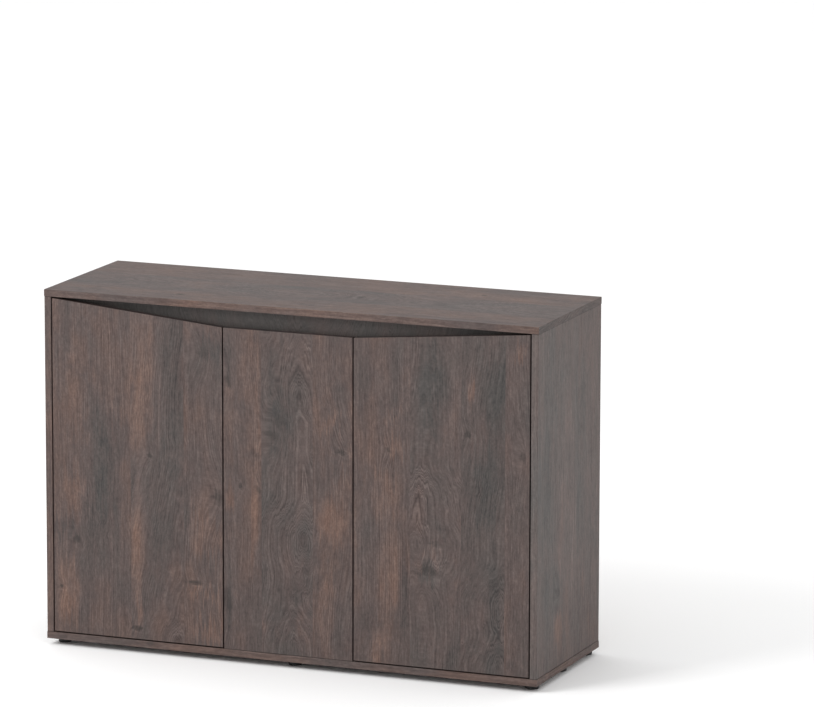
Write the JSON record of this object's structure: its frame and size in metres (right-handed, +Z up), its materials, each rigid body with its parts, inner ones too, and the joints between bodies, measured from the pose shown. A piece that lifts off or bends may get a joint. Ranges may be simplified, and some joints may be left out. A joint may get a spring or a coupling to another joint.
{
  "type": "aquarium stand cabinet",
  "caption": "Low free-standing board cabinet with two hinged doors and a fixed centre front panel under a finger recess, made to carry an aquarium on its flat top.",
  "frame": {"origin": "middle of the cabinet's footprint, on the floor", "axes": "+X to the right seen from the front, +Y from the doors towards the back panels, +Z up"},
  "size_m": [1.2, 0.4, 0.828],
  "materials": {
    "melamine_board": "satin melamine with a dark grey-brown oak print and matching edge band",
    "back_sheet": "matt printed fibreboard",
    "nickelled_steel": "nickel-plated pressed steel",
    "zinc_casting": "bare zinc die casting",
    "black_plastic": "fine matt moulding"
  },
  "bodies": {
    "carcass": {"top_panel": "melamine_board", "bottom_panel": "melamine_board", "front_rail": "melamine_board", "centre_partition": "melamine_board", "centre_front_panel": "melamine_board", "centre_front_foot": "black_plastic", "centre_middle_foot": "black_plastic", "centre_rear_foot": "black_plastic", "left_side_panel": "melamine_board", "left_shelf": "melamine_board", "left_back_panel": "back_sheet", "left_panel_bracket": "nickelled_steel", "left_door_catch": "black_plastic", "left_lower_front_cam_lock": "zinc_casting", "left_lower_rear_cam_lock": "zinc_casting", "left_upper_front_cam_lock": "zinc_casting", "left_upper_rear_cam_lock": "zinc_casting", "left_outer_front_shelf_pin": "nickelled_steel", "left_inner_front_shelf_pin": "nickelled_steel", "left_outer_rear_shelf_pin": "nickelled_steel", "left_inner_rear_shelf_pin": "nickelled_steel", "left_front_foot": "black_plastic", "left_middle_foot": "black_plastic", "left_rear_foot": "black_plastic", "left_lower_hinge_arm": "nickelled_steel", "left_lower_hinge_plate": "nickelled_steel", "left_upper_hinge_arm": "nickelled_steel", "left_upper_hinge_plate": "nickelled_steel", "right_side_panel": "melamine_board", "right_shelf": "melamine_board", "right_back_panel": "back_sheet", "right_panel_bracket": "nickelled_steel", "right_door_catch": "black_plastic", "right_lower_front_cam_lock": "zinc_casting", "right_lower_rear_cam_lock": "zinc_casting", "right_upper_front_cam_lock": "zinc_casting", "right_upper_rear_cam_lock": "zinc_casting", "right_outer_front_shelf_pin": "nickelled_steel", "right_inner_front_shelf_pin": "nickelled_steel", "right_outer_rear_shelf_pin": "nickelled_steel", "right_inner_rear_shelf_pin": "nickelled_steel", "right_front_foot": "black_plastic", "right_middle_foot": "black_plastic", "right_rear_foot": "black_plastic", "right_lower_hinge_arm": "nickelled_steel", "right_lower_hinge_plate": "nickelled_steel", "right_upper_hinge_arm": "nickelled_steel", "right_upper_hinge_plate": "nickelled_steel"},
    "left_door": {"left_door": "melamine_board", "left_strike_plate": "nickelled_steel", "left_lower_hinge_cup": "nickelled_steel", "left_upper_hinge_cup": "nickelled_steel"},
    "left_hinge_links": {"left_lower_hinge_link": "nickelled_steel", "left_upper_hinge_link": "nickelled_steel"},
    "right_door": {"right_door": "melamine_board", "right_strike_plate": "nickelled_steel", "right_lower_hinge_cup": "nickelled_steel", "right_upper_hinge_cup": "nickelled_steel"},
    "right_hinge_links": {"right_lower_hinge_link": "nickelled_steel", "right_upper_hinge_link": "nickelled_steel"}
  },
  "joints": [
    {"name": "left_door_swing", "type": "hinge", "parent": "carcass", "child": "left_door", "pos_m": [-0.576, -0.196, 0.4], "axis": [0, 0, -1], "range_deg": [0, 95]},
    {"name": "left_hinge_link_swing", "type": "hinge", "parent": "left_door", "child": "left_hinge_links", "pos_m": [-0.555, -0.1904, 0.4], "axis": [0, 0, 1], "range_deg": [0, 69.85]},
    {"name": "right_door_swing", "type": "hinge", "parent": "carcass", "child": "right_door", "pos_m": [0.576, -0.196, 0.4], "axis": [0, 0, 1], "range_deg": [0, 95]},
    {"name": "right_hinge_link_swing", "type": "hinge", "parent": "right_door", "child": "right_hinge_links", "pos_m": [0.555, -0.1904, 0.4], "axis": [0, 0, -1], "range_deg": [0, 69.85]}
  ],
  "couplings": [
    {"joint": "left_hinge_link_swing", "follows": "left_door_swing", "ratio": 0.7352},
    {"joint": "right_hinge_link_swing", "follows": "right_door_swing", "ratio": 0.7352}
  ]
}
